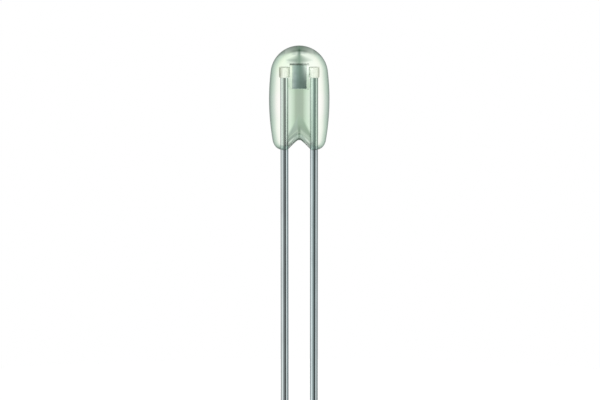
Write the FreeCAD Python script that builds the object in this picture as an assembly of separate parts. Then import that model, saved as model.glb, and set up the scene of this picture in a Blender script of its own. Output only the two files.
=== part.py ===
"""Glass-sealed radial thermistor bead: glass body, two leads, chip with its two electrodes, two contact caps.

Millimetres, +Z up. The origin is midway between the leads at the level where they leave the glass.
X runs across the two leads, Y is the depth. The leads hang down along -Z.
"""

import FreeCAD
import Part
import math
import os

V = FreeCAD.Vector

# leads
PITCH = 1.112
LEAD_X = PITCH / 2.0
LEAD_R = 0.15
LEAD_FREE = 20.0
LEAD_TIP_CHAMFER = 0.025
# a modelling device: the sealed length narrows by 0.0015 mm so that the fit check takes the free length
# alone as the pin. The real wire is not known to narrow
LEAD_SEALED_R = 0.1485
LEAD_TOP_Z = 3.08

# glass outline in the XZ plane
BEAD_TOP_Z = 3.955
BELLY_R = 1.135
BELLY_Z = 1.94
SIDE_ARC_R = 9.0
LOBE_R = 0.468
# the dome is the one circle that ends at the bead's top and touches the side arc from inside
CROWN_H = BEAD_TOP_Z - BELLY_Z
SIDE_CX = BELLY_R - SIDE_ARC_R
DOME_R = (SIDE_ARC_R ** 2 - SIDE_CX ** 2 - CROWN_H ** 2) / (2.0 * (SIDE_ARC_R - CROWN_H))
DOME_Z = BEAD_TOP_Z - DOME_R

# notch under the glass, between the leads
NOTCH_TOP_Z = 0.417
NOTCH_SLOPE = 0.9
NOTCH_TIP_R = 0.15
NOTCH_FOOT_R = 0.16
NOTCH_FLARE = 0.30
NOTCH_HALF_DEPTH = 1.3
MOUTH_R = 0.16

# caps on the lead ends
CAP_R = 0.195
CAP_BOTTOM_Z = 2.75
CAP_TOP_Z = 3.15
CAP_EDGE_R = 0.045
CAP_RIM_R = 0.02

# chip and its two electrodes
CHIP_HALF_X = 0.265
CHIP_DEPTH = 0.9
CHIP_BOTTOM_Z = 2.35
CHIP_TOP_Z = 3.255
CHIP_EDGE = 0.014
ELECTRODE_OVERHANG = 0.02


def polar(cx, cz, r, deg):
    a = math.radians(deg)
    return V(cx + r * math.cos(a), 0, cz + r * math.sin(a))


def arc(p0, mid, p1):
    return Part.Arc(p0, mid, p1).toShape()


def line(p0, p1):
    return Part.LineSegment(p0, p1).toShape()


def unit(a, b):
    d = b.sub(a)
    d.normalize()
    return d


def bead_profile():
    """Half of the outline, from the top of the axis down the side, round the lobe and back along the bottom."""
    side_cx = SIDE_CX
    dome_c = V(0, 0, DOME_Z)
    side_c = V(side_cx, 0, BELLY_Z)
    # the dome touches the side arc on the line through both centres
    towards = unit(side_c, dome_c)
    top_join = dome_c.add(towards * DOME_R)
    side_top_deg = math.degrees(math.atan2(top_join.z - BELLY_Z, top_join.x - side_cx))
    # the lobe's circle is moved in until it touches the side arc from inside
    lobe_z = LOBE_R
    reach = SIDE_ARC_R - LOBE_R
    lobe_x = side_cx + math.sqrt(reach ** 2 - (lobe_z - BELLY_Z) ** 2)
    lobe_c = V(lobe_x, 0, lobe_z)
    down = unit(side_c, lobe_c)
    low_join = lobe_c.add(down * LOBE_R)
    side_low_deg = math.degrees(math.atan2(low_join.z - BELLY_Z, low_join.x - side_cx))
    side_mid = polar(side_cx, BELLY_Z, SIDE_ARC_R, (side_top_deg + side_low_deg) / 2.0)
    apex = V(0, 0, DOME_Z + DOME_R)
    dome_mid_deg = (90.0 + math.degrees(math.atan2(top_join.z - DOME_Z, top_join.x))) / 2.0
    dome_mid = polar(0, DOME_Z, DOME_R, dome_mid_deg)
    foot = V(lobe_x, 0, 0)
    foot_deg = math.degrees(math.atan2(low_join.z - lobe_z, low_join.x - lobe_x))
    foot_mid = polar(lobe_x, lobe_z, LOBE_R, (foot_deg - 90.0) / 2.0)
    base = V(0, 0, 0)
    edges = [
        arc(apex, dome_mid, top_join),
        arc(top_join, side_mid, low_join),
        arc(low_join, foot_mid, foot),
        line(foot, base),
        line(base, apex),
    ]
    return Part.Wire(edges)


def notch_section(y):
    """The notch's outline at depth y: a rounded V whose tip rises towards the front and the back."""
    rise = NOTCH_FLARE * (y / NOTCH_HALF_DEPTH) ** 2
    # straight arm z = top - slope * x, before its two ends are rounded
    slope = NOTCH_SLOPE * (NOTCH_TOP_Z + rise) / NOTCH_TOP_Z
    norm = math.sqrt(1.0 + slope ** 2)
    # the tip's circle is centred on the axis, below the arm
    tip_cz = NOTCH_TOP_Z + rise - NOTCH_TIP_R
    line_top = tip_cz + NOTCH_TIP_R * norm
    tip_x = NOTCH_TIP_R * slope / norm
    tip_z = tip_cz + NOTCH_TIP_R / norm
    # the foot's circle stands on z = 0 under the glass and touches the arm from above
    foot_r = NOTCH_FOOT_R
    foot_cx = (line_top - foot_r + foot_r * norm) / slope
    touch_x = foot_cx - foot_r * slope / norm
    touch_z = foot_r - foot_r / norm
    touch_deg = math.degrees(math.atan2(touch_z - foot_r, touch_x - foot_cx))
    mid = polar(foot_cx, foot_r, foot_r, (touch_deg - 90.0) / 2.0)

    def at(x, z):
        return V(x, y, z)

    tip_mid = at(0, NOTCH_TOP_Z + rise)
    right = [
        Part.Arc(at(foot_cx, 0), at(mid.x, mid.z), at(touch_x, touch_z)).toShape(),
        Part.LineSegment(at(touch_x, touch_z), at(tip_x, tip_z)).toShape(),
    ]
    tip = Part.Arc(at(tip_x, tip_z), tip_mid, at(-tip_x, tip_z)).toShape()
    left = [
        Part.LineSegment(at(-tip_x, tip_z), at(-touch_x, touch_z)).toShape(),
        Part.Arc(at(-touch_x, touch_z), at(-mid.x, mid.z), at(-foot_cx, 0)).toShape(),
    ]
    below = [
        Part.LineSegment(at(-foot_cx, 0), at(-foot_cx, -0.5)).toShape(),
        Part.LineSegment(at(-foot_cx, -0.5), at(foot_cx, -0.5)).toShape(),
        Part.LineSegment(at(foot_cx, -0.5), at(foot_cx, 0)).toShape(),
    ]
    return Part.Wire(right + [tip] + left + below)


def notch():
    steps = (-1.0, -0.5, 0.0, 0.5, 1.0)
    wires = [notch_section(s * NOTCH_HALF_DEPTH) for s in steps]
    return Part.makeLoft(wires, True, False)


def bead():
    """The glass before anything is sealed into it. Molten glass leaves no sharp edge where the notch opens."""
    body = Part.Face(bead_profile()).revolve(V(0, 0, 0), V(0, 0, 1), 360.0)
    body = body.cut(notch())
    mouth = []
    for e in body.Edges:
        c = e.CenterOfMass
        level = e.BoundBox.ZLength < 1e-6
        if abs(c.y) > 0.44 * BELLY_R and abs(c.x) < LEAD_X and c.z < BELLY_Z / 2.0 and not level:
            mouth.append(e)
    return body.makeFillet(MOUTH_R, mouth)


def lead(side):
    x = side * LEAD_X
    low = -LEAD_FREE
    c = LEAD_TIP_CHAMFER
    tip = Part.makeCone(LEAD_R - c, LEAD_R, c, V(x, 0, low))
    free = Part.makeCylinder(LEAD_R, LEAD_FREE - c, V(x, 0, low + c))
    sealed = Part.makeCone(LEAD_R, LEAD_SEALED_R, LEAD_TOP_Z, V(x, 0, 0))
    return tip.fuse([free, sealed])


def cap(side, wire):
    """A collar closed over the lead's end, with a rounded mouth and a small round at the top."""
    x = side * LEAD_X
    height = CAP_TOP_Z - CAP_BOTTOM_Z
    body = Part.makeCylinder(CAP_R, height, V(x, 0, CAP_BOTTOM_Z))
    rims = [e for e in body.Edges if isinstance(e.Curve, Part.Circle)]
    low = [e for e in rims if abs(e.CenterOfMass.z - CAP_BOTTOM_Z) < 1e-6]
    high = [e for e in rims if abs(e.CenterOfMass.z - CAP_TOP_Z) < 1e-6]
    body = body.makeFillet(CAP_EDGE_R * 0.98, low)
    rims = [e for e in body.Edges if isinstance(e.Curve, Part.Circle)]
    high = [e for e in rims if abs(e.CenterOfMass.z - CAP_TOP_Z) < 1e-6]
    body = body.makeFillet(CAP_RIM_R, high)
    return body.cut(wire)


def box(x0, x1, depth, z0, z1):
    return Part.makeBox(x1 - x0, depth, z1 - z0, V(x0, -depth / 2.0, z0))


def chip():
    body = box(-CHIP_HALF_X, CHIP_HALF_X, CHIP_DEPTH, CHIP_BOTTOM_Z, CHIP_TOP_Z)
    along = [e for e in body.Edges if abs(e.tangentAt(0).x) > 0.9]
    return body.makeChamfer(CHIP_EDGE, along)


def electrode(side):
    outer = LEAD_X - CAP_R
    o = ELECTRODE_OVERHANG
    x0, x1 = (CHIP_HALF_X, outer) if side > 0 else (-outer, -CHIP_HALF_X)
    body = box(x0, x1, CHIP_DEPTH + 2 * o, CHIP_BOTTOM_Z - o, CHIP_TOP_Z)
    along = [e for e in body.Edges if abs(e.tangentAt(0).x) > 0.9]
    return body.makeFillet(0.02, along)


def main():
    os.makedirs("parts", exist_ok=True)
    leads = {"left": lead(-1), "right": lead(1)}
    caps = {"left": cap(-1, leads["left"]), "right": cap(1, leads["right"])}
    electrodes = {"left": electrode(-1), "right": electrode(1)}
    core = chip()
    sealed_in = list(leads.values()) + list(caps.values()) + list(electrodes.values()) + [core]
    glass = bead().cut(sealed_in)
    nodes = {
        "glass_body": glass,
        "lead_left": leads["left"],
        "lead_right": leads["right"],
        "thermistor_chip": core,
        "electrode_left": electrodes["left"],
        "electrode_right": electrodes["right"],
        "contact_cap_left": caps["left"],
        "contact_cap_right": caps["right"],
    }
    for name, shape in nodes.items():
        solids = shape.Solids
        shape = solids[0] if len(solids) == 1 else shape
        print(name, "solids", len(solids), "valid", shape.isValid(), "volume", round(shape.Volume, 5))
        shape.exportStep("parts/" + name + ".step")


main()
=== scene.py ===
"""Glass-sealed thermistor bead on two plated wires, dressed for the camera. Metres, +Z up."""

import math

import bmesh
import bpy
import numpy as np
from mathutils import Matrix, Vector


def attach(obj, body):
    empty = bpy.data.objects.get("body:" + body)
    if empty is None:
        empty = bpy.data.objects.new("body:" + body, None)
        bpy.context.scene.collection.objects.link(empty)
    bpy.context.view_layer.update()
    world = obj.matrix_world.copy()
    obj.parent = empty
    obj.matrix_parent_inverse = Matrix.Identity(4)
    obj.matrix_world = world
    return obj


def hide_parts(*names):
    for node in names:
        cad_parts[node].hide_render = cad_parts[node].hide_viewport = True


MM = 0.001

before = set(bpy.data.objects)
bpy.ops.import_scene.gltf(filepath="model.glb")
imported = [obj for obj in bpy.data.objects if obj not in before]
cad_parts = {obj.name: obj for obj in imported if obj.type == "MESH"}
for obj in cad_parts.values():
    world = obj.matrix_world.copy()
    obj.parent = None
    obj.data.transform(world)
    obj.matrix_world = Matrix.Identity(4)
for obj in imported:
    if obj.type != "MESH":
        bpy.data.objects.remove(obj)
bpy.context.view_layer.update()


# sizes in millimetres: the outlines are the solids', and the smallest edge radii are the scene's own

LEAD_X = 0.556
LEAD_R = 0.15
LEAD_SEALED_R = 0.1485
LEAD_FREE = 20.0
LEAD_TIP_CHAMFER = 0.025
LEAD_TOP_Z = 3.08

BEAD_TOP_Z = 3.955
BELLY_R = 1.135
BELLY_Z = 1.94
SIDE_ARC_R = 9.0
LOBE_R = 0.468
CROWN_H = BEAD_TOP_Z - BELLY_Z
SIDE_CX = BELLY_R - SIDE_ARC_R
DOME_R = (SIDE_ARC_R ** 2 - SIDE_CX ** 2 - CROWN_H ** 2) / (2.0 * (SIDE_ARC_R - CROWN_H))
DOME_Z = BEAD_TOP_Z - DOME_R
LOBE_X = SIDE_CX + math.sqrt((SIDE_ARC_R - LOBE_R) ** 2 - (LOBE_R - BELLY_Z) ** 2)

NOTCH_TOP_Z = 0.417
NOTCH_SLOPE = 0.9
NOTCH_TIP_R = 0.15
NOTCH_FOOT_R = 0.16
NOTCH_FLARE = 0.30
NOTCH_HALF_DEPTH = 1.3
MOUTH_BLEND = 0.13

# the painted light and dark lines over the notch follow a V of the notch's slope, with this tip level and this
# rounding
NOTCH_LINES_LEVEL = 0.472
NOTCH_LINES_ROUND = 0.06

CAP_R = 0.195
CAP_BOTTOM_Z = 2.75
CAP_TOP_Z = 3.15
CAP_MOUTH_R = 0.044
CAP_RIM_R = 0.02
CAP_DISH = 0.006

CHIP_HALF_X = 0.265
CHIP_DEPTH = 0.9
CHIP_BOTTOM_Z = 2.35
CHIP_TOP_Z = 3.255
CHIP_EDGE = 0.012
ELECTRODE_OUT_X = LEAD_X - CAP_R
ELECTRODE_OVERHANG = 0.02
ELECTRODE_DEPTH = CHIP_DEPTH + 2.0 * ELECTRODE_OVERHANG
ELECTRODE_EDGE = 0.018

# fineness of the meshes
ROUND_STEPS = 96
FREE_RINGS = 40
SEALED_RINGS = 12
GLASS_SUBDIVISIONS = 7
GLASS_HALVINGS = 34

# the point inside the glass from which its skin is found, and a distance that is surely outside it
GLASS_HEART_Z = 1.55
GLASS_REACH = 3.2


# meshes

def new_piece(name, verts_mm, faces, material, node, smooth=True):
    mesh = bpy.data.meshes.new(name)
    mesh.from_pydata([tuple(c * MM for c in v) for v in verts_mm], [], faces)
    mesh.update()
    piece = bpy.data.objects.new(name, mesh)
    bpy.context.scene.collection.objects.link(piece)
    for polygon in mesh.polygons:
        polygon.use_smooth = smooth
    mesh.materials.append(material)
    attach(piece, "root")
    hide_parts(node)
    return piece


def lathe(profile, cx, segments=ROUND_STEPS):
    """Verts and faces of a closed solid turned about x = cx. The profile starts and ends on the axis."""
    verts = [(cx, 0.0, profile[0][1])]
    inner = profile[1:-1]
    for r, z in inner:
        for i in range(segments):
            a = 2.0 * math.pi * i / segments
            verts.append((cx + r * math.cos(a), r * math.sin(a), z))
    verts.append((cx, 0.0, profile[-1][1]))
    faces = []
    for i in range(segments):
        faces.append((0, 1 + (i + 1) % segments, 1 + i))
    for k in range(len(inner) - 1):
        a0 = 1 + k * segments
        b0 = a0 + segments
        for i in range(segments):
            j = (i + 1) % segments
            faces.append((a0 + i, a0 + j, b0 + j, b0 + i))
    last = 1 + (len(inner) - 1) * segments
    top = len(verts) - 1
    for i in range(segments):
        faces.append((last + i, last + (i + 1) % segments, top))
    return verts, faces


def bead_distance(p):
    """Signed distance in mm from the glass outline without the notch, positive outside."""
    rho = np.hypot(p[:, 0], p[:, 1])
    z = p[:, 2]
    side = np.hypot(rho - SIDE_CX, z - BELLY_Z) - SIDE_ARC_R
    dome = np.hypot(rho, z - DOME_Z) - DOME_R
    lobe = np.where(rho > LOBE_X, np.hypot(rho - LOBE_X, z - LOBE_R) - LOBE_R, -z)
    top_join = BELLY_Z + SIDE_ARC_R * (DOME_Z - BELLY_Z) / (SIDE_ARC_R - DOME_R)
    low_join = BELLY_Z + SIDE_ARC_R * (LOBE_R - BELLY_Z) / (SIDE_ARC_R - LOBE_R)
    out = np.where(z > top_join, dome, side)
    return np.where(z < low_join, np.maximum(lobe, np.where(rho > LOBE_X, lobe, -z)), out)


def notch_height(x, y):
    """Height of the glass's underside in the notch, at plan position x, y."""
    x = np.abs(x)
    rise = NOTCH_FLARE * (y / NOTCH_HALF_DEPTH) ** 2
    slope = NOTCH_SLOPE * (NOTCH_TOP_Z + rise) / NOTCH_TOP_Z
    norm = np.sqrt(1.0 + slope ** 2)
    tip_cz = NOTCH_TOP_Z + rise - NOTCH_TIP_R
    line_top = tip_cz + NOTCH_TIP_R * norm
    tip_x = NOTCH_TIP_R * slope / norm
    foot_cx = (line_top - NOTCH_FOOT_R + NOTCH_FOOT_R * norm) / slope
    touch_x = foot_cx - NOTCH_FOOT_R * slope / norm
    tip = tip_cz + np.sqrt(np.maximum(NOTCH_TIP_R ** 2 - x ** 2, 0.0))
    arm = line_top - slope * x
    foot = NOTCH_FOOT_R - np.sqrt(np.maximum(NOTCH_FOOT_R ** 2 - (foot_cx - x) ** 2, 0.0))
    height = np.where(x < tip_x, tip, arm)
    height = np.where(x > touch_x, foot, height)
    return np.where(x > foot_cx, 0.0, height), slope


def glass_distance(p):
    outer = bead_distance(p)
    height, slope = notch_height(p[:, 0], p[:, 1])
    notch = (height - p[:, 2]) / np.sqrt(1.0 + slope ** 2)
    blend = np.maximum(MOUTH_BLEND - np.abs(outer - notch), 0.0) / MOUTH_BLEND
    return np.maximum(outer, notch) + blend ** 2 * MOUTH_BLEND * 0.25


def make_glass(material):
    """The bead's skin: each ray from its heart is halved towards the point where the glass ends."""
    sphere = bmesh.new()
    bmesh.ops.create_icosphere(sphere, subdivisions=GLASS_SUBDIVISIONS, radius=1.0)
    sphere.verts.ensure_lookup_table()
    rays = np.array([v.co[:] for v in sphere.verts])
    rays /= np.linalg.norm(rays, axis=1)[:, None]
    faces = [[v.index for v in f.verts] for f in sphere.faces]
    sphere.free()
    heart = np.array([0.0, 0.0, GLASS_HEART_Z])
    near = np.zeros(len(rays))
    far = np.full(len(rays), GLASS_REACH)
    for _ in range(GLASS_HALVINGS):
        mid = 0.5 * (near + far)
        inside = glass_distance(heart + rays * mid[:, None]) < 0.0
        near = np.where(inside, mid, near)
        far = np.where(inside, far, mid)
    points = heart + rays * near[:, None]
    return new_piece("bead_glass_skin", points.tolist(), faces, material, "glass_body")


def make_lead(side, name, node, material):
    c = LEAD_TIP_CHAMFER
    low = -LEAD_FREE
    profile = [(0.0, low), (LEAD_R - c, low), (LEAD_R - 0.4 * c, low + 0.35 * c), (LEAD_R, low + c)]
    for k in range(1, FREE_RINGS):
        profile.append((LEAD_R, low + c + (LEAD_FREE - c) * k / FREE_RINGS))
    for k in range(SEALED_RINGS + 1):
        t = k / SEALED_RINGS
        profile.append((LEAD_R + (LEAD_SEALED_R - LEAD_R) * t, LEAD_TOP_Z * t))
    profile.append((0.0, LEAD_TOP_Z))
    verts, faces = lathe(profile, side * LEAD_X)
    piece = new_piece(name, verts, faces, material, node)
    piece.data.set_sharp_from_angle(angle=math.radians(20.0))
    return piece


def make_cap(side, name, node, material):
    """A collar with a rolled mouth and a slightly dished, closed top."""
    profile = [(0.0, CAP_BOTTOM_Z + 0.004), (CAP_R - CAP_MOUTH_R, CAP_BOTTOM_Z)]
    for degrees in np.linspace(-78.75, 0.0, 8):
        a = math.radians(degrees)
        r = CAP_R - CAP_MOUTH_R + CAP_MOUTH_R * math.cos(a)
        profile.append((r, CAP_BOTTOM_Z + CAP_MOUTH_R + CAP_MOUTH_R * math.sin(a)))
    for degrees in np.linspace(0.0, 90.0, 7):
        a = math.radians(degrees)
        r = CAP_R - CAP_RIM_R + CAP_RIM_R * math.cos(a)
        profile.append((r, CAP_TOP_Z - CAP_RIM_R + CAP_RIM_R * math.sin(a)))
    profile += [(CAP_R - 0.05, CAP_TOP_Z - 0.004), (0.0, CAP_TOP_Z - CAP_DISH)]
    verts, faces = lathe(profile, side * LEAD_X)
    return new_piece(name, verts, faces, material, node)


def make_block(name, x0, x1, depth, z0, z1, bevel, material, node):
    """A small pressed block with rounded edges."""
    block = bmesh.new()
    bmesh.ops.create_cube(block, size=1.0)
    for v in block.verts:
        v.co.x = 0.5 * (x0 + x1) + v.co.x * (x1 - x0)
        v.co.y = v.co.y * depth
        v.co.z = 0.5 * (z0 + z1) + v.co.z * (z1 - z0)
    bmesh.ops.bevel(block, geom=block.edges[:], offset=bevel, segments=3, profile=0.5, affect="EDGES")
    block.verts.index_update()
    verts = [tuple(v.co) for v in block.verts]
    faces = [[v.index for v in f.verts] for f in block.faces]
    block.free()
    piece = new_piece(name, verts, faces, material, node)
    piece.data.shade_smooth()
    # the bright wires beside it mirror the studio, not this dark block
    piece.visible_glossy = False
    return piece


# materials

class Tree:
    """A node tree, with short calls to add to it. A value is a number, a tuple or a socket."""

    def __init__(self, tree):
        self.tree = tree

    def node(self, kind, **settings):
        made = self.tree.nodes.new(kind)
        for key, value in settings.items():
            setattr(made, key, value)
        return made

    def link(self, a, b):
        self.tree.links.new(a, b)

    def math(self, operation, a, b=None, c=None, clamp=False):
        made = self.node("ShaderNodeMath", operation=operation, use_clamp=clamp)
        for socket, value in zip(made.inputs, (a, b, c)):
            if value is None:
                continue
            if isinstance(value, (int, float)):
                socket.default_value = value
            else:
                self.link(value, socket)
        return made.outputs[0]

    def times(self, a, b, clamp=False):
        return self.math("MULTIPLY", a, b, clamp=clamp)

    def step(self, value, low, high):
        """0 on low's side, 1 on high's side, smooth between them."""
        made = self.node("ShaderNodeMapRange", interpolation_type="SMOOTHSTEP")
        self.link(value, made.inputs["Value"])
        made.inputs["From Min"].default_value = low
        made.inputs["From Max"].default_value = high
        return made.outputs["Result"]

    def window(self, value, rise, fall):
        """1 between the rise and the fall, 0 outside them."""
        return self.times(self.step(value, rise[0], rise[1]), self.step(value, fall[1], fall[0]))

    def mix(self, factor, a, b, blend="MIX"):
        made = self.node("ShaderNodeMix", data_type="RGBA", blend_type=blend)
        for socket, value in ((made.inputs[0], factor), (made.inputs[6], a), (made.inputs[7], b)):
            if isinstance(value, (int, float)):
                socket.default_value = value
            elif isinstance(value, tuple):
                socket.default_value = (*value, 1.0)
            else:
                self.link(value, socket)
        return made.outputs[2]

    def tint(self, factor, colour, by):
        """The colour, multiplied by another one where the factor says so."""
        return self.mix(factor, colour, self.mix(1.0, colour, by, "MULTIPLY"))

    def ramp(self, factor, stops):
        made = self.node("ShaderNodeValToRGB")
        elements = made.color_ramp.elements
        while len(elements) < len(stops):
            elements.new(0.5)
        for element, (position, colour) in zip(elements, stops):
            element.position = position
            element.color = (*colour, 1.0)
        self.link(factor, made.inputs[0])
        return made.outputs[0]


def make_grain_group():
    """Grain for the small parts: fine noise that flecks a colour and feeds roughness and bump."""
    group = bpy.data.node_groups.new("fine_grain", "ShaderNodeTree")
    sockets = (("Place", "Vector"), ("Stretch", "Vector"), ("Scale", "Float"), ("Detail", "Float"),
               ("Low", "Float"), ("High", "Float"), ("Amount", "Float"),
               ("Ground", "Color"), ("Fleck", "Color"))
    for name, kind in sockets:
        group.interface.new_socket(name=name, in_out="INPUT", socket_type="NodeSocket" + kind)
    group.interface.new_socket(name="Color", in_out="OUTPUT", socket_type="NodeSocketColor")
    group.interface.new_socket(name="Grain", in_out="OUTPUT", socket_type="NodeSocketFloat")
    t = Tree(group)
    given = t.node("NodeGroupInput").outputs
    result = t.node("NodeGroupOutput").inputs
    drawn = t.node("ShaderNodeVectorMath", operation="MULTIPLY")
    t.link(given["Place"], drawn.inputs[0])
    t.link(given["Stretch"], drawn.inputs[1])
    noise = t.node("ShaderNodeTexNoise")
    t.link(drawn.outputs[0], noise.inputs["Vector"])
    t.link(given["Scale"], noise.inputs["Scale"])
    t.link(given["Detail"], noise.inputs["Detail"])
    fleck = t.node("ShaderNodeMapRange", interpolation_type="SMOOTHSTEP")
    t.link(noise.outputs["Fac"], fleck.inputs["Value"])
    t.link(given["Low"], fleck.inputs["From Min"])
    t.link(given["High"], fleck.inputs["From Max"])
    share = t.times(fleck.outputs["Result"], given["Amount"])
    t.link(t.mix(share, given["Ground"], given["Fleck"]), result["Color"])
    t.link(noise.outputs["Fac"], result["Grain"])
    return group


grain_group = make_grain_group()


class Shade(Tree):
    """One material's node tree, round its surface shader."""

    def __init__(self, name):
        self.material = bpy.data.materials.new(name)
        self.material.use_nodes = True
        super().__init__(self.material.node_tree)
        self.surface = self.tree.nodes["Principled BSDF"]

    def left(self, x):
        """1 on the left wire's side."""
        return self.step(x, 0.1, -0.1)

    def right(self, x):
        """1 on the right wire's side."""
        return self.step(x, -0.1, 0.1)

    def place(self):
        """Object coordinates in millimetres, as x, y, z sockets and the vector."""
        coords = self.node("ShaderNodeTexCoord")
        scale = self.node("ShaderNodeVectorMath", operation="SCALE")
        self.link(coords.outputs["Object"], scale.inputs[0])
        scale.inputs["Scale"].default_value = 1.0 / MM
        split = self.node("ShaderNodeSeparateXYZ")
        self.link(scale.outputs[0], split.inputs[0])
        return split.outputs[0], split.outputs[1], split.outputs[2], scale.outputs[0]

    def lean(self):
        """How far the surface looks up: 1 for a top, -1 for an underside."""
        coords = self.node("ShaderNodeTexCoord")
        split = self.node("ShaderNodeSeparateXYZ")
        self.link(coords.outputs["Normal"], split.inputs[0])
        return split.outputs[2]

    def grain(self, place, ground, fleck, scale, detail, span, amount, stretch=(1.0, 1.0, 1.0)):
        """The shared grain, set to this material: the flecked colour and the grain's own value."""
        made = self.node("ShaderNodeGroup", node_tree=grain_group)
        for name, value in (("Place", place), ("Stretch", stretch), ("Scale", scale), ("Detail", detail),
                            ("Low", span[0]), ("High", span[1]), ("Amount", amount)):
            if isinstance(value, (int, float, tuple)):
                made.inputs[name].default_value = value
            else:
                self.link(value, made.inputs[name])
        for name, value in (("Ground", ground), ("Fleck", fleck)):
            if isinstance(value, tuple):
                made.inputs[name].default_value = (*value, 1.0)
            else:
                self.link(value, made.inputs[name])
        return made.outputs["Color"], made.outputs["Grain"]

    def noise(self, vector, scale, detail=4.0, stretch=(1.0, 1.0, 1.0)):
        mapping = self.node("ShaderNodeMapping")
        mapping.inputs["Scale"].default_value = stretch
        self.link(vector, mapping.inputs["Vector"])
        made = self.node("ShaderNodeTexNoise")
        made.inputs["Scale"].default_value = scale
        made.inputs["Detail"].default_value = detail
        self.link(mapping.outputs[0], made.inputs["Vector"])
        return made.outputs["Fac"]

    def bump(self, height, strength, distance_mm):
        made = self.node("ShaderNodeBump")
        made.inputs["Strength"].default_value = strength
        made.inputs["Distance"].default_value = distance_mm * MM
        self.link(height, made.inputs["Height"])
        self.link(made.outputs["Normal"], self.surface.inputs["Normal"])


def srgb(text):
    """Linear colour from a six-digit screen colour."""
    out = []
    for k in (0, 2, 4):
        c = int(text[k:k + 2], 16) / 255.0
        out.append(c / 12.92 if c <= 0.04045 else ((c + 0.055) / 1.055) ** 2.4)
    return tuple(out)


def height_over_notch(s, x, wide, level):
    """How far above the notch's rounded V a point is seen."""
    root = s.math("SQRT", s.math("MULTIPLY_ADD", x, x, NOTCH_LINES_ROUND ** 2))
    above = s.math("SUBTRACT", level, s.math("MULTIPLY_ADD", root, -NOTCH_SLOPE, NOTCH_LINES_LEVEL))
    # close over the notch, the arms of the V lie a little higher than its tip
    arms = s.times(s.step(wide, 0.08, 0.22), s.step(above, 0.16, 0.08))
    return s.math("MULTIPLY_ADD", arms, -0.022, above)


def wall_tint_and_rim_shade(s, x, level, facing, roof):
    """The skin takes up colour where it turns away: the glass's own green, and painted shade that darkens its
    rim.
    """
    # the painted rim shade starts later low down, in the shoulders and a little on the right
    rim_shade_offset = s.times(s.step(level, 1.35, 0.75), 0.045)
    rim_shade_offset = s.math("MULTIPLY_ADD", s.step(x, 0.0, 0.5), 0.022, rim_shade_offset)
    rim_shade_offset = s.math("MULTIPLY_ADD", s.step(level, 2.8, 3.2), 0.024, rim_shade_offset)
    wall = s.ramp(s.math("SUBTRACT", facing, rim_shade_offset), [
        (0.00, (1.0, 1.0, 0.98)),
        (0.27, (1.0, 0.99, 0.945)),
        (0.35, (0.905, 0.925, 0.86)),
        (0.43, (0.69, 0.775, 0.695)),
        (0.50, (0.575, 0.675, 0.60)),
        (0.56, (0.49, 0.605, 0.52)),
        (0.63, (0.405, 0.505, 0.435)),
        (0.71, (0.275, 0.35, 0.305)),
        (0.84, (0.19, 0.245, 0.21)),
        (1.00, (0.14, 0.18, 0.155)),
    ])
    # the notch's roof stays clear
    wall = s.mix(roof, wall, (0.86, 0.91, 0.87))
    # above and below the middle it is a shade greener
    middle = s.window(level, (1.0, 1.5), (2.0, 2.35))
    return s.mix(middle, s.mix(1.0, wall, (0.965, 1.0, 0.965), "MULTIPLY"), wall)


def notch_light_and_shade(s, x, wide, above):
    """Painted shade and light over the notch: a dark line along the V, a pale band, and darker ones over it.
    """
    notch_lines = s.ramp(above, [
        (0.00, (0.085, 0.12, 0.095)),
        (0.045, (0.09, 0.13, 0.10)),
        (0.075, (0.22, 0.275, 0.23)),
        (0.105, (0.45, 0.50, 0.455)),
        (0.135, (0.69, 0.72, 0.69)),
        (0.165, (0.78, 0.82, 0.79)),
        (0.195, (0.78, 0.85, 0.81)),
        (0.225, (0.56, 0.65, 0.58)),
        (0.28, (0.44, 0.525, 0.455)),
        (0.33, (0.50, 0.60, 0.515)),
        (0.38, (0.46, 0.56, 0.47)),
        (0.43, (0.365, 0.455, 0.38)),
        (0.50, (0.34, 0.435, 0.35)),
        (0.65, (0.355, 0.465, 0.37)),
        (0.85, (0.385, 0.50, 0.40)),
        (1.00, (0.40, 0.50, 0.40)),
    ])
    # a painted dark line stands over the tip, strongest low down and again across the second dark band
    near = s.math("MULTIPLY_ADD", s.step(above, 0.27, 0.23), 0.56, 0.44)
    band = s.window(above, (0.29, 0.32), (0.38, 0.43))
    tip_shade_line = s.times(s.step(wide, 0.075, 0.015), s.math("MULTIPLY_ADD", band, 0.22, near))
    tip_shade_line = s.times(tip_shade_line, s.window(above, (0.08, 0.14), (0.35, 0.60)))
    notch_lines = s.tint(tip_shade_line, notch_lines, (0.30, 0.37, 0.31))
    # on the left the second painted band is flatter and the painted funnel lighter
    left = s.step(x, -0.02, -0.12)
    calm = s.times(s.window(above, (0.20, 0.25), (0.33, 0.37)), left)
    notch_lines = s.tint(calm, notch_lines, (0.71, 0.73, 0.745))
    return s.tint(s.times(s.step(above, 0.40, 0.47), left), notch_lines, (1.14, 1.09, 1.18))


def core_tint(s, x, wide, level, above):
    """The glass between the wires is greener, and painted shade and light lines darken it in a funnel towards
    the notch.
    """
    core = s.ramp(s.math("DIVIDE", wide, 0.75), [
        (0.00, (0.385, 0.485, 0.39)),
        (0.17, (0.41, 0.515, 0.41)),
        (0.27, (0.545, 0.68, 0.55)),
        (0.37, (0.65, 0.79, 0.66)),
        (0.50, (0.75, 0.87, 0.76)),
        (0.86, (1.0, 1.0, 1.0)),
    ])
    funnel = s.math("MULTIPLY_ADD", wide, 1.9, level)
    funnel = s.math("MULTIPLY_ADD", s.step(x, 0.0, -0.15), 0.07, funnel)
    funnel = s.times(s.step(funnel, 1.57, 1.34), s.step(wide, 0.47, 0.41))
    return s.mix(funnel, core, notch_light_and_shade(s, x, wide, above))


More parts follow.
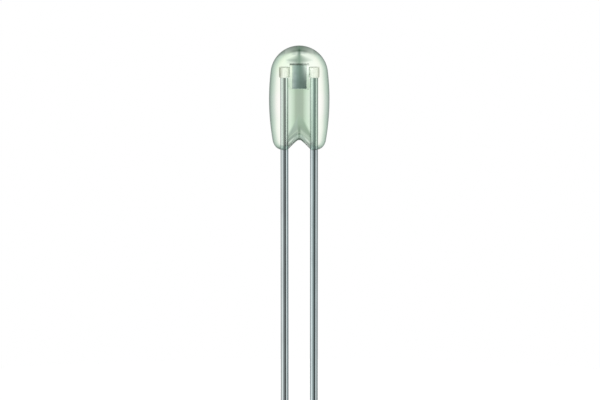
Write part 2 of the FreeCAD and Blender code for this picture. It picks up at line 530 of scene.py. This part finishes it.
def share_tint(s, y, level, core):
    """The front wall takes the tint up slowly on its way down, and the back wall carries the rest of it."""
    front = s.mix(s.step(level, 2.33, 1.45), (1.0, 1.0, 1.0), core)
    rear = s.mix(1.0, s.mix(1.0, core, core, "MULTIPLY"), front, "DIVIDE")
    rear = s.mix(s.step(level, 2.80, 2.40), (1.0, 1.0, 1.0), rear)
    return s.mix(s.step(y, -0.01, 0.01), front, rear)


def dome_tint(s, x, wide, level, facing, colour):
    """What the dome shows: its faint green, and painted shade and highlights down to its lip."""
    # a faint green gathers in the dome, and less of it on the right, where painted light makes it paler
    mint = s.mix(s.step(x, -0.6, 0.6), (0.90, 0.99, 0.88), (0.975, 1.0, 0.965))
    dome = s.times(s.step(level, 2.7, 3.3), s.step(facing, 0.60, 0.35))
    colour = s.tint(dome, colour, mint)
    # painted shade darkens the top of the dome
    slant = s.math("DIVIDE", wide, s.math("MAXIMUM", s.math("SUBTRACT", level, 2.8755), 0.05))
    dome_top_shade = s.ramp(slant, [
        (0.00, (0.225, 0.31, 0.25)),
        (0.08, (0.34, 0.41, 0.36)),
        (0.164, (0.44, 0.51, 0.45)),
        (0.25, (0.53, 0.57, 0.53)),
        (0.34, (0.60, 0.63, 0.60)),
        (0.42, (0.67, 0.70, 0.67)),
        (0.58, (0.80, 0.81, 0.79)),
        (0.75, (0.92, 0.92, 0.91)),
        (1.00, (1.0, 1.0, 1.0)),
    ])
    top = s.times(s.step(facing, 0.33, 0.44), s.step(level, 3.0, 3.2))
    colour = s.tint(top, colour, dome_top_shade)
    # painted shade draws a darker line where its shoulders end, and a painted highlight a paler one on the
    # cheeks below them
    shoulder = s.times(s.step(facing, 0.80, 0.95), s.window(level, (3.25, 3.40), (3.75, 3.90)))
    colour = s.tint(shoulder, colour, (0.55, 0.58, 0.56))
    cheek = s.times(s.step(facing, 0.82, 0.95), s.window(level, (2.30, 2.70), (3.20, 3.35)))
    colour = s.tint(cheek, colour, (1.9, 1.8, 1.85))
    # painted shade darkens its brow still more, but for a painted glint in the middle, and the lip under the
    # brow too
    brow = s.step(s.math("MULTIPLY_ADD", s.times(x, x), 0.25, level), 3.66, 3.735)
    colour = s.tint(s.times(brow, s.step(slant, 0.03, 0.10)), colour, (0.79, 0.77, 0.79))
    lip = s.mix(s.step(x, -0.05, 0.05), s.step(level, 3.56, 3.62), s.step(level, 3.60, 3.66))
    lip = s.times(lip, s.times(s.step(level, 3.80, 3.75), s.step(wide, 0.36, 0.18)))
    return s.tint(lip, colour, (0.70, 0.73, 0.74))


def neck_tint(s, x, wide, level, colour):
    """Under the dome's top, painted shade draws a dark waist that opens over the chip."""
    opening = s.math("MULTIPLY_ADD", level, -2.2, 0.12 + 2.2 * 3.60)
    closing = s.math("MULTIPLY_ADD", level, 2.6, 0.58 - 2.6 * 3.418)
    spread = s.math("MAXIMUM", s.math("MINIMUM", opening, closing), 0.09)
    waist_shade = s.math("SUBTRACT", 1.0, s.math("DIVIDE", wide, spread), clamp=True)
    waist_shade = s.times(waist_shade, s.window(level, (3.20, 3.26), (3.75, 3.87)))
    colour = s.tint(waist_shade, colour, (0.28, 0.36, 0.32))
    # it shades the left of the neck more than the right
    shade = s.times(s.window(x, (-0.52, -0.34), (-0.12, -0.03)), s.window(level, (3.26, 3.30), (3.41, 3.47)))
    return s.tint(shade, colour, (0.82, 0.83, 0.85))


def bead_glass():
    s = Shade("bead_glass")
    x, y, z, at = s.place()
    wide = s.math("ABSOLUTE", x)
    # level is the height at which a point is seen from the front, a little from above
    level = s.math("MULTIPLY_ADD", y, s.math("MULTIPLY_ADD", z, -0.0128, 0.099), z)
    above = height_over_notch(s, x, wide, level)
    weight = s.node("ShaderNodeLayerWeight")
    weight.inputs["Blend"].default_value = 0.5
    facing = weight.outputs["Facing"]
    roof = s.times(s.step(s.lean(), -0.25, -0.5), s.step(wide, 0.56, 0.48))
    # seen through from the side, the notch's roof is clear
    core = core_tint(s, x, wide, level, above)
    core = s.mix(s.times(roof, s.step(facing, 0.74, 0.60)), core, (0.88, 0.95, 0.90))
    colour = s.mix(1.0, wall_tint_and_rim_shade(s, x, level, facing, roof), share_tint(s, y, level, core), "MULTIPLY")
    # painted shade darkens the lobes' feet, and the ends of the painted notch lines where they run into the
    # wires
    colour = s.tint(s.step(z, 0.20, 0.04), colour, (0.32, 0.36, 0.35))
    colour = s.tint(s.step(z, 0.06, 0.01), colour, (0.45, 0.50, 0.48))
    ends = s.times(s.window(wide, (0.28, 0.38), (0.50, 0.60)), s.step(above, 0.26, 0.16))
    colour = s.tint(ends, colour, (0.80, 0.81, 0.80))
    # a thin shadow follows each wire on its inner side
    hug = s.times(s.window(wide, (0.355, 0.385), (0.42, 0.44)), s.step(level, 2.76, 2.70))
    deep = s.mix(s.step(level, 2.33, 2.42), (0.84, 0.86, 0.85), (0.70, 0.78, 0.70))
    colour = s.tint(hug, colour, deep)
    colour = dome_tint(s, x, wide, level, facing, colour)
    colour = neck_tint(s, x, wide, level, colour)
    # faint greener streaks run up the glass
    streak = s.noise(at, 1.4, 2.0, (1.0, 1.0, 0.35))
    colour = s.tint(s.times(s.step(streak, 0.45, 0.75), 0.06), colour, (0.80, 0.93, 0.82))
    # light that comes back off the parts inside has met the tint already
    path = s.node("ShaderNodeLightPath")
    back = s.math("ADD", path.outputs["Glossy Depth"], path.outputs["Diffuse Depth"], clamp=True)
    colour = s.mix(back, colour, (1.0, 1.0, 1.0))
    s.link(colour, s.surface.inputs["Base Color"])
    s.surface.inputs["Transmission Weight"].default_value = 1.0
    s.surface.inputs["IOR"].default_value = 1.01
    s.surface.inputs["Roughness"].default_value = 0.0
    s.link(s.math("MULTIPLY_ADD", roof, -0.35, 0.35), s.surface.inputs["Coat Weight"])
    s.surface.inputs["Coat Roughness"].default_value = 0.03
    s.surface.inputs["Coat IOR"].default_value = 1.5
    s.bump(s.noise(at, 0.9, 1.0), 0.1, 0.02)
    return s.material


def plated_wire():
    s = Shade("plated_wire")
    x, _, z, at = s.place()
    left, right = s.left(x), s.right(x)
    # -1 on a wire's side towards the other wire, 0 along its middle, 1 on its outer side
    flank = s.math("DIVIDE", s.math("SUBTRACT", s.math("ABSOLUTE", x), LEAD_X), LEAD_R)
    # faint dull clouds in the plating, and fine lines drawn along the wire
    colour, cloud = s.grain(at, (0.80, 0.925, 0.935), (0.73, 0.835, 0.85), scale=3.0, detail=3.0,
                            span=(0.35, 0.75), amount=1.0, stretch=(1.0, 1.0, 0.25))
    colour, fine = s.grain(at, colour, (0.61, 0.67, 0.69), scale=34.0, detail=3.0,
                           span=(0.55, 0.85), amount=1.0, stretch=(1.0, 1.0, 0.03))
    # a painted reflection darkens one side of each wire, the right wire's outer side and the left one's inner
    # side
    dark_reflection = s.times(right, s.window(flank, (0.08, 0.20), (0.40, 0.50)))
    dark_reflection = s.math("MAXIMUM", dark_reflection, s.times(left, s.step(flank, -0.45, -0.60)))
    colour = s.tint(dark_reflection, colour, (0.87, 0.87, 0.88))
    # the left wire is warmer on its outer side and has a painted highlight down its middle, the right one is
    # greener there
    colour = s.tint(s.times(left, s.step(flank, 0.20, 0.50)), colour, (0.96, 0.92, 0.905))
    bright = s.times(left, s.window(flank, (-0.55, -0.42), (-0.10, 0.05)))
    colour = s.tint(bright, colour, (1.08, 1.08, 1.065))
    green = s.times(right, s.window(flank, (-0.40, -0.20), (0.10, 0.20)))
    colour = s.tint(green, colour, (0.95, 1.08, 1.065))
    # the sealed length is paler, greener and a little rougher, and painted shade darkens the left wire's outer
    # side there
    sealed = s.step(z, 0.12, 0.24)
    pale = s.mix(right, (0.84, 0.98, 0.89), (0.73, 0.90, 0.80))
    pale = s.tint(s.times(left, s.step(flank, 0.30, 0.60)), pale, (0.80, 0.78, 0.81))
    # a painted reflection of the darker glass over the notch darkens its inner side, and painted shade darkens
    # it again at its foot
    inner = s.times(s.step(flank, 0.35, -0.35), s.math("MULTIPLY_ADD", z, -0.5, 1.15, clamp=True))
    pale = s.tint(inner, pale, (0.76, 0.74, 0.77))
    foot = s.times(s.step(z, 0.45, 0.20), s.step(flank, 0.3, -0.1))
    pale = s.tint(foot, pale, (0.72, 0.71, 0.74))
    # a painted reflection puts a darker line on the right wire there too, and the glass greens its dark middle
    line = s.times(right, s.window(flank, (0.35, 0.45), (0.62, 0.75)))
    pale = s.tint(line, pale, (0.76, 0.78, 0.77))
    vein = s.times(right, s.window(flank, (-0.35, -0.15), (0.30, 0.42)))
    pale = s.tint(vein, pale, (0.94, 1.11, 1.06))
    colour = s.mix(sealed, colour, pale)
    # the wire is darker in a ring where it enters the glass
    colour = s.tint(s.window(z, (0.03, 0.08), (0.19, 0.24)), colour, (0.72, 0.78, 0.75))
    s.link(colour, s.surface.inputs["Base Color"])
    s.surface.inputs["Metallic"].default_value = 1.0
    rough = s.math("MULTIPLY_ADD", fine, 0.04, 0.055)
    rough = s.math("MULTIPLY_ADD", s.step(cloud, 0.35, 0.75), 0.04, rough)
    rough = s.math("MULTIPLY_ADD", sealed, 0.01, rough)
    s.link(rough, s.surface.inputs["Roughness"])
    s.bump(fine, 0.01, 0.002)
    return s.material


def cap_cream():
    s = Shade("cap_cream")
    x, _, z, at = s.place()
    right = s.right(x)
    ground = s.mix(right, (0.93, 0.97, 0.89), (0.82, 0.87, 0.78))
    worn = s.mix(right, (0.88, 0.91, 0.84), (0.78, 0.82, 0.74))
    colour, _ = s.grain(at, ground, worn, scale=5.0, detail=2.0, span=(0.35, 0.70), amount=1.0)
    colour, grain = s.grain(at, colour, (0.69, 0.72, 0.64), scale=26.0, detail=4.0,
                            span=(0.50, 0.75), amount=0.2)
    # painted shade darkens the outer flanks, on the left cap more than on the right one, and painted light
    # lifts the flanks towards the chip
    flank = s.math("DIVIDE", s.math("SUBTRACT", s.math("ABSOLUTE", x), LEAD_X), CAP_R)
    colour = s.mix(s.step(flank, 0.0, -0.6), colour, (1.0, 1.0, 0.96))
    flank_shade = s.times(s.step(flank, 0.10, 0.50), s.math("MULTIPLY_ADD", right, -0.22, 0.42))
    flank_shade = s.math("ADD", flank_shade, s.times(s.step(flank, 0.50, 0.80), 0.66))
    colour = s.mix(flank_shade, colour, s.mix(right, (0.44, 0.47, 0.39), (0.48, 0.52, 0.43)))
    # painted shade darkens the closed end, its top face most
    colour = s.mix(s.step(z, CAP_TOP_Z - 0.040, CAP_TOP_Z - 0.020), colour, (0.70, 0.74, 0.65))
    colour = s.mix(s.step(s.lean(), 0.55, 0.90), colour, (0.40, 0.44, 0.38))
    s.link(colour, s.surface.inputs["Base Color"])
    s.link(s.math("MULTIPLY_ADD", grain, 0.2, 0.35), s.surface.inputs["Roughness"])
    s.surface.inputs["Specular IOR Level"].default_value = 0.3
    s.bump(grain, 0.2, 0.003)
    return s.material


def up_the_chip(s, z):
    """0 at the chip's foot, 1 at its top."""
    return s.math("DIVIDE", s.math("SUBTRACT", z, CHIP_BOTTOM_Z), CHIP_TOP_Z - CHIP_BOTTOM_Z)


def shade_top(s, z, colour):
    """Painted shade makes the chip and its electrodes a little darker just under their tops."""
    return s.tint(s.step(z, CHIP_TOP_Z - 0.045, CHIP_TOP_Z - 0.02), colour, (0.78, 0.78, 0.78))


def chip_ceramic():
    s = Shade("chip_ceramic")
    x, _, z, at = s.place()
    across = s.math("MULTIPLY_ADD", x, 0.5 / CHIP_HALF_X, 0.5)
    # a painted reflection makes the chip's face lighter on the left and darker towards the right
    colour = s.ramp(across, [
        (0.00, srgb("c8d8cc")),
        (0.14, srgb("a0b3ad")),
        (0.36, srgb("7a9189")),
        (0.55, srgb("687f74")),
        (0.80, srgb("64796f")),
        (1.00, srgb("677c71")),
    ])
    colour, _ = s.grain(at, colour, srgb("66796f"), scale=6.0, detail=3.0, span=(0.40, 0.70), amount=0.25)
    colour, grain = s.grain(at, colour, srgb("9aada4"), scale=60.0, detail=5.0, span=(0.55, 0.70), amount=0.15)
    # it darkens towards its foot
    high = s.mix(1.0, colour, (1.08, 1.07, 1.09), "MULTIPLY")
    low = s.mix(1.0, colour, (0.82, 0.82, 0.85), "MULTIPLY")
    colour = s.mix(s.step(z, 3.08, 2.50), high, low)
    # a painted highlight lights the chip's upper right corner
    along = s.math("POWER", s.math("MAXIMUM", s.math("DIVIDE", x, CHIP_HALF_X), 0.0), 2.2)
    up = s.math("POWER", s.math("MAXIMUM", up_the_chip(s, z), 0.0), 2.2)
    corner_highlight = s.times(s.times(along, up), 0.95, clamp=True)
    colour = s.mix(corner_highlight, colour, (0.88, 0.98, 0.92))
    # painted shade darkens the chip's top edge, least at its right
    edge = s.ramp(across, [
        (0.00, srgb("74827a")),
        (0.35, srgb("5d7065")),
        (0.50, srgb("475a4f")),
        (0.62, srgb("54665a")),
        (0.80, srgb("82928a")),
        (1.00, srgb("b4c0b6")),
    ])
    colour = shade_top(s, z, colour)
    colour = s.mix(s.step(z, CHIP_TOP_Z - 0.016, CHIP_TOP_Z - 0.008), colour, edge)
    colour = s.mix(s.step(z, CHIP_BOTTOM_Z + 0.026, CHIP_BOTTOM_Z + 0.010), colour, (0.40, 0.52, 0.42))
    s.link(colour, s.surface.inputs["Base Color"])
    s.link(s.math("MULTIPLY_ADD", grain, 0.25, 0.4), s.surface.inputs["Roughness"])
    s.surface.inputs["Specular IOR Level"].default_value = 0.2
    s.bump(grain, 0.25, 0.003)
    return s.material


def electrode_metal():
    s = Shade("electrode_metal")
    x, _, z, at = s.place()
    up = up_the_chip(s, z)
    # painted light: the electrodes brighten towards their tops, the right one most, into a painted highlight
    right = s.ramp(up, [
        (0.00, (0.46, 0.58, 0.46)),
        (0.30, (0.54, 0.67, 0.55)),
        (0.55, (0.62, 0.75, 0.64)),
        (0.75, (0.86, 0.96, 0.88)),
        (1.00, (0.97, 1.0, 0.97)),
    ])
    left = s.ramp(up, [
        (0.00, (0.57, 0.70, 0.57)),
        (0.40, (0.62, 0.76, 0.63)),
        (0.58, (0.75, 0.86, 0.72)),
        (0.80, (0.82, 0.90, 0.78)),
        (1.00, (0.80, 0.86, 0.76)),
    ])
    side = s.right(x)
    colour = s.mix(side, left, right)
    colour, grain = s.grain(at, colour, (0.70, 0.78, 0.69), scale=40.0, detail=4.0,
                            span=(0.35, 0.75), amount=0.3)
    # painted shade darkens their top edges, the left one more
    ends = s.mix(side, srgb("7a8879"), srgb("c6d0c7"))
    colour = shade_top(s, z, colour)
    colour = s.mix(s.step(z, CHIP_TOP_Z - 0.013, CHIP_TOP_Z - 0.006), colour, ends)
    s.link(colour, s.surface.inputs["Base Color"])
    s.link(s.math("MULTIPLY_ADD", grain, 0.2, 0.35), s.surface.inputs["Roughness"])
    s.surface.inputs["Specular IOR Level"].default_value = 0.3
    s.bump(grain, 0.25, 0.003)
    return s.material


# studio

# soft boxes and dark flags stand round the set: degrees from the front, and the light that metal mirrors there
RING_LIGHT = ((-180, 0.57), (-150, 0.46), (-124, 0.35), (-99, 0.43), (-84, 1.00), (-72, 1.00), (-61, 0.80),
              (-44, 0.46), (-30, 0.34), (-14, 0.24), (0, 0.14), (16, 0.055), (31, 0.07), (46, 0.22),
              (58, 1.00), (68, 1.00), (76, 0.41), (97, 0.155), (122, 0.28), (150, 0.39), (180, 0.57))
KEY_SIDE = (0.33, -0.80, 0.50)
FLOOR_RADIUS = 60.0
FLOOR_GLOW = 0.30


def make_world():
    world = bpy.data.worlds.new("studio")
    bpy.context.scene.world = world
    world.use_nodes = True
    world.node_tree.nodes.clear()
    t = Tree(world.node_tree)
    coords = t.node("ShaderNodeTexCoord")
    split = t.node("ShaderNodeSeparateXYZ")
    t.link(coords.outputs["Generated"], split.inputs[0])
    turn = t.math("ARCTAN2", split.outputs[0], t.times(split.outputs[1], -1.0))
    ring = t.ramp(t.math("MULTIPLY_ADD", turn, 0.5 / math.pi, 0.5),
                  [(degrees / 360.0 + 0.5, (light, light, light)) for degrees, light in RING_LIGHT])
    # the soft key comes over the camera's right shoulder
    lean = t.node("ShaderNodeVectorMath", operation="DOT_PRODUCT")
    t.link(coords.outputs["Generated"], lean.inputs[0])
    lean.inputs[1].default_value = KEY_SIDE
    soft = t.math("MULTIPLY_ADD", t.math("MAXIMUM", lean.outputs["Value"], 0.0), 0.90, 0.48)
    path = t.node("ShaderNodeLightPath").outputs
    glossy = t.math("GREATER_THAN", path["Glossy Depth"], 0.5)
    diffuse = t.math("GREATER_THAN", path["Diffuse Depth"], 0.5)
    # round the sealed wires the glass scatters some light back
    sealed = t.math("GREATER_THAN", path["Transmission Depth"], 0.5)
    gain = t.math("MULTIPLY_ADD", sealed, 0.13, 1.0)
    mirrored = t.math("MULTIPLY_ADD", sealed, 0.096, t.times(ring, gain))
    light = t.mix(glossy, (1.0, 1.0, 1.0), mirrored)
    light = t.mix(diffuse, light, soft)
    back = t.node("ShaderNodeBackground")
    t.link(light, back.inputs["Color"])
    t.link(back.outputs[0], t.node("ShaderNodeOutputWorld").inputs["Surface"])


def floor_white():
    s = Shade("floor_white")
    s.surface.inputs["Base Color"].default_value = (0.86, 0.86, 0.86, 1.0)
    s.surface.inputs["Roughness"].default_value = 0.9
    s.surface.inputs["Specular IOR Level"].default_value = 0.0

    def choose(factor, a, b):
        made = s.node("ShaderNodeMixShader")
        for socket, value in zip(made.inputs, (factor, a, b)):
            s.link(value, socket)
        return made.outputs[0]

    # the paper glows a little where it is seen, so that it looks white
    path = s.node("ShaderNodeLightPath").outputs
    glow = s.node("ShaderNodeEmission")
    seen = s.math("MAXIMUM", path["Is Camera Ray"], path["Is Transmission Ray"])
    seen = s.math("MAXIMUM", seen, path["Is Glossy Ray"])
    s.link(s.times(seen, FLOOR_GLOW), glow.inputs["Strength"])
    paper = s.node("ShaderNodeAddShader")
    s.link(s.surface.outputs[0], paper.inputs[0])
    s.link(glow.outputs[0], paper.inputs[1])
    # through the glass it is plain white
    plain = s.node("ShaderNodeEmission")
    through = choose(path["Is Transmission Ray"], paper.outputs[0], plain.outputs[0])
    # the wires mirror the studio over their whole length, not the floor
    clear = s.node("ShaderNodeBsdfTransparent")
    mirrored = s.math("GREATER_THAN", path["Glossy Depth"], 0.5)
    s.link(choose(mirrored, through, clear.outputs[0]), s.tree.nodes["Material Output"].inputs["Surface"])
    return s.material


def make_floor():
    mesh = bpy.data.meshes.new("floor")
    corners = []
    for i in range(ROUND_STEPS):
        a = 2.0 * math.pi * i / ROUND_STEPS
        corners.append((FLOOR_RADIUS * MM * math.cos(a), FLOOR_RADIUS * MM * math.sin(a), -LEAD_FREE * MM))
    mesh.from_pydata(corners, [], [list(range(ROUND_STEPS))])
    floor = bpy.data.objects.new("floor", mesh)
    bpy.context.scene.collection.objects.link(floor)
    mesh.materials.append(floor_white())


def aim(thing, place_mm, target_mm):
    place = Vector(place_mm) * MM
    thing.location = place
    thing.rotation_euler = (Vector(target_mm) * MM - place).to_track_quat("-Z", "Y").to_euler()


def make_lamp(name, place_mm, size_mm, watts, target_mm=(0.0, 0.0, 1.0)):
    light = bpy.data.lights.new(name, "AREA")
    light.shape = "DISK"
    light.size = size_mm * MM
    light.energy = watts
    lamp = bpy.data.objects.new(name, light)
    bpy.context.scene.collection.objects.link(lamp)
    aim(lamp, place_mm, target_mm)


def make_camera():
    """The camera stands a hand's breadth away, a little above the bead."""
    lift = math.radians(7.0)
    reach = 79.0
    seen_width = 22.642
    target = (0.028, 0.0, -1.866)
    place = (target[0], target[1] - reach * math.cos(lift), target[2] + reach * math.sin(lift))
    data = bpy.data.cameras.new("camera")
    data.sensor_width = 36.0
    data.lens = data.sensor_width * reach / seen_width
    data.clip_start = 0.001
    data.clip_end = 10.0
    camera = bpy.data.objects.new("camera", data)
    bpy.context.scene.collection.objects.link(camera)
    aim(camera, place, target)
    bpy.context.scene.camera = camera


make_camera()
make_world()
make_floor()
make_lamp("key", (-60.0, -70.0, 90.0), 70.0, 0.006)
make_lamp("fill", (80.0, -40.0, 50.0), 70.0, 0.003)

glass = bead_glass()
wire = plated_wire()
cream = cap_cream()
ceramic = chip_ceramic()
film = electrode_metal()
FILM_BOTTOM_Z = CHIP_BOTTOM_Z - ELECTRODE_OVERHANG

make_glass(glass)
make_lead(-1, "wire_left", "lead_left", wire)
make_lead(1, "wire_right", "lead_right", wire)
make_cap(-1, "collar_left", "contact_cap_left", cream)
make_cap(1, "collar_right", "contact_cap_right", cream)
make_block("ceramic_chip", -CHIP_HALF_X, CHIP_HALF_X, CHIP_DEPTH, CHIP_BOTTOM_Z, CHIP_TOP_Z,
           CHIP_EDGE, ceramic, "thermistor_chip")
make_block("film_left", -ELECTRODE_OUT_X, -CHIP_HALF_X, ELECTRODE_DEPTH, FILM_BOTTOM_Z, CHIP_TOP_Z,
           ELECTRODE_EDGE, film, "electrode_left")
make_block("film_right", CHIP_HALF_X, ELECTRODE_OUT_X, ELECTRODE_DEPTH, FILM_BOTTOM_Z, CHIP_TOP_Z,
           ELECTRODE_EDGE, film, "electrode_right")

scene = bpy.context.scene
scene.view_settings.view_transform = "Standard"
